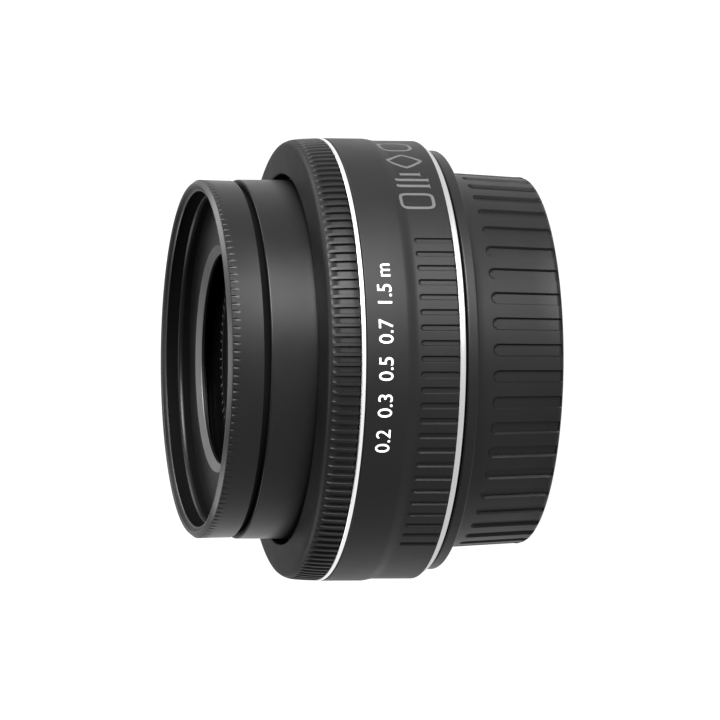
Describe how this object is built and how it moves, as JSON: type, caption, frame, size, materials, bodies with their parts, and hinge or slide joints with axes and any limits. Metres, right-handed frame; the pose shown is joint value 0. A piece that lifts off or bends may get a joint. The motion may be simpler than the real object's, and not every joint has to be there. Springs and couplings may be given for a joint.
{
  "type": "prime camera lens",
  "caption": "Short autofocus prime lens for a bayonet SLR mount, with an extending barrel, a focus ring, a screw-in dish hood and a ribbed rear cap.",
  "frame": {"origin": "centre of the rear cap's outer face, which the lens stands on", "axes": "+Z along the optical axis towards the front; -Y faces the viewer"},
  "size_m": [0.0682, 0.0682, 0.0516],
  "materials": {
    "moulded_black": "fine-textured moulded black plastic",
    "satin_black": "smooth satin black plastic",
    "anodised_black": "satin black anodised aluminium",
    "blade_black": "matt black blades",
    "cap_black": "matt black polypropylene",
    "bright_trim": "bright anodised aluminium",
    "mount_chrome": "turned and plated metal",
    "steel": "bright steel",
    "brass": "machined brass",
    "nylon": "natural acetal",
    "board": "green solder mask",
    "coated_glass": "multi-coated optical glass",
    "white_mark": "white moulded mark"
  },
  "bodies": {
    "barrel": {"barrel_cover": "moulded_black", "trim_ring": "bright_trim", "guide_tube": "moulded_black", "mount_plate": "mount_chrome", "mount_shim": "steel", "mount_screw_1": "steel", "mount_screw_2": "steel", "mount_screw_3": "steel", "mount_screw_4": "steel", "rear_baffle": "moulded_black", "contact_block": "moulded_black", "contact_strip": "brass", "main_board": "board", "gear_plate": "steel", "focus_motor": "steel", "idler_axle": "steel", "focus_retainer": "steel", "photo_reflector": "moulded_black", "mount_index": "white_mark"},
    "focus_ring": {"focus_ring": "moulded_black", "encoder_ring": "steel"},
    "lens_unit": {"inner_barrel": "satin_black", "cam_roller_1": "nylon", "cam_roller_2": "nylon", "cam_roller_3": "nylon", "name_ring": "satin_black", "front_cell": "moulded_black", "front_retainer": "moulded_black", "cell_screw_1": "steel", "cell_screw_2": "steel", "cell_screw_3": "steel", "rear_cell": "moulded_black", "lens_spacer": "moulded_black", "rear_retainer": "moulded_black", "lens_element_1": "coated_glass", "lens_element_2": "coated_glass", "lens_element_3": "coated_glass", "lens_element_4": "coated_glass", "lens_element_5": "coated_glass", "lens_element_6": "coated_glass", "iris_base": "moulded_black", "iris_cover": "moulded_black", "iris_motor": "steel"},
    "cam_ring": {"cam_ring": "brass"},
    "idler_gear": {"idler_gear": "nylon"},
    "motor_pinion": {"motor_pinion": "brass"},
    "iris_ring": {"iris_ring": "steel"},
    "iris_pinion": {"iris_pinion": "brass"},
    "iris_blade_1": {"iris_blade_1": "blade_black"},
    "iris_blade_2": {"iris_blade_2": "blade_black"},
    "iris_blade_3": {"iris_blade_3": "blade_black"},
    "iris_blade_4": {"iris_blade_4": "blade_black"},
    "iris_blade_5": {"iris_blade_5": "blade_black"},
    "iris_blade_6": {"iris_blade_6": "blade_black"},
    "iris_blade_7": {"iris_blade_7": "blade_black"},
    "hood": {"hood": "anodised_black"},
    "rear_cap": {"rear_cap": "cap_black"},
    "mode_switch": {"mode_switch": "moulded_black"}
  },
  "joints": [
    {"name": "lens_extend", "type": "slide", "parent": "barrel", "child": "lens_unit", "axis": [0, 0, 1], "range_m": [-0.0065, 0]},
    {"name": "focus_ring_turn", "type": "hinge", "parent": "barrel", "child": "focus_ring", "pos_m": [0, 0, 0.03495], "axis": [0, 0, 1], "continuous": true},
    {"name": "cam_ring_turn", "type": "hinge", "parent": "barrel", "child": "cam_ring", "pos_m": [0, 0, 0.02725], "axis": [0, 0, 1], "range_deg": [-70.2, 0.2]},
    {"name": "idler_turn", "type": "hinge", "parent": "barrel", "child": "idler_gear", "pos_m": [-0.02208, -0.00804, 0.01975], "axis": [0, 0, 1], "range_deg": [-437, 1]},
    {"name": "motor_turn", "type": "hinge", "parent": "barrel", "child": "motor_pinion", "pos_m": [-0.01688, -0.01411, 0.01975], "axis": [0, 0, 1], "range_deg": [-1, 562]},
    {"name": "iris_close", "type": "hinge", "parent": "lens_unit", "child": "iris_ring", "pos_m": [0, 0, 0.03545], "axis": [0, 0, 1], "range_deg": [0, 26]},
    {"name": "iris_motor_turn", "type": "hinge", "parent": "lens_unit", "child": "iris_pinion", "pos_m": [0.00988, 0.00829, 0.03545], "axis": [0, 0, 1], "range_deg": [-161, 1]},
    {"name": "iris_blade_1_swing", "type": "hinge", "parent": "lens_unit", "child": "iris_blade_1", "pos_m": [0.0092, 0, 0.03385], "axis": [0, 0, 1], "range_deg": [-0.2, 30.2]},
    {"name": "iris_blade_2_swing", "type": "hinge", "parent": "lens_unit", "child": "iris_blade_2", "pos_m": [0.00574, 0.00719, 0.03385], "axis": [0, 0, 1], "range_deg": [-0.2, 30.2]},
    {"name": "iris_blade_3_swing", "type": "hinge", "parent": "lens_unit", "child": "iris_blade_3", "pos_m": [-0.00205, 0.00897, 0.03385], "axis": [0, 0, 1], "range_deg": [-0.2, 30.2]},
    {"name": "iris_blade_4_swing", "type": "hinge", "parent": "lens_unit", "child": "iris_blade_4", "pos_m": [-0.00829, 0.00399, 0.03385], "axis": [0, 0, 1], "range_deg": [-0.2, 30.2]},
    {"name": "iris_blade_5_swing", "type": "hinge", "parent": "lens_unit", "child": "iris_blade_5", "pos_m": [-0.00829, -0.00399, 0.03385], "axis": [0, 0, 1], "range_deg": [-0.2, 30.2]},
    {"name": "iris_blade_6_swing", "type": "hinge", "parent": "lens_unit", "child": "iris_blade_6", "pos_m": [-0.00205, -0.00897, 0.03385], "axis": [0, 0, 1], "range_deg": [-0.2, 30.2]},
    {"name": "iris_blade_7_swing", "type": "hinge", "parent": "lens_unit", "child": "iris_blade_7", "pos_m": [0.00574, -0.00719, 0.03385], "axis": [0, 0, 1], "range_deg": [-0.2, 30.2]},
    {"name": "hood_remove", "type": "slide", "parent": "lens_unit", "child": "hood", "axis": [0, 0, 1], "range_m": [0, 0.012]},
    {"name": "cap_remove", "type": "slide", "parent": "barrel", "child": "rear_cap", "axis": [0, 0, -1], "range_m": [0, 0.022]},
    {"name": "mode_switch_slide", "type": "hinge", "parent": "barrel", "child": "mode_switch", "pos_m": [0, 0, 0.02785], "axis": [0, 0, 1], "range_deg": [0, 5]}
  ],
  "couplings": [
    {"joint": "cam_ring_turn", "follows": "lens_extend", "rad_per_m": 187.96},
    {"joint": "idler_turn", "follows": "lens_extend", "rad_per_m": 1169.5},
    {"joint": "motor_turn", "follows": "lens_extend", "rad_per_m": -1503.7},
    {"joint": "iris_motor_turn", "follows": "iris_close", "ratio": -6.1667},
    {"joint": "iris_blade_1_swing", "follows": "iris_close", "ratio": 1.1538},
    {"joint": "iris_blade_2_swing", "follows": "iris_close", "ratio": 1.1538},
    {"joint": "iris_blade_3_swing", "follows": "iris_close", "ratio": 1.1538},
    {"joint": "iris_blade_4_swing", "follows": "iris_close", "ratio": 1.1538},
    {"joint": "iris_blade_5_swing", "follows": "iris_close", "ratio": 1.1538},
    {"joint": "iris_blade_6_swing", "follows": "iris_close", "ratio": 1.1538},
    {"joint": "iris_blade_7_swing", "follows": "iris_close", "ratio": 1.1538}
  ]
}
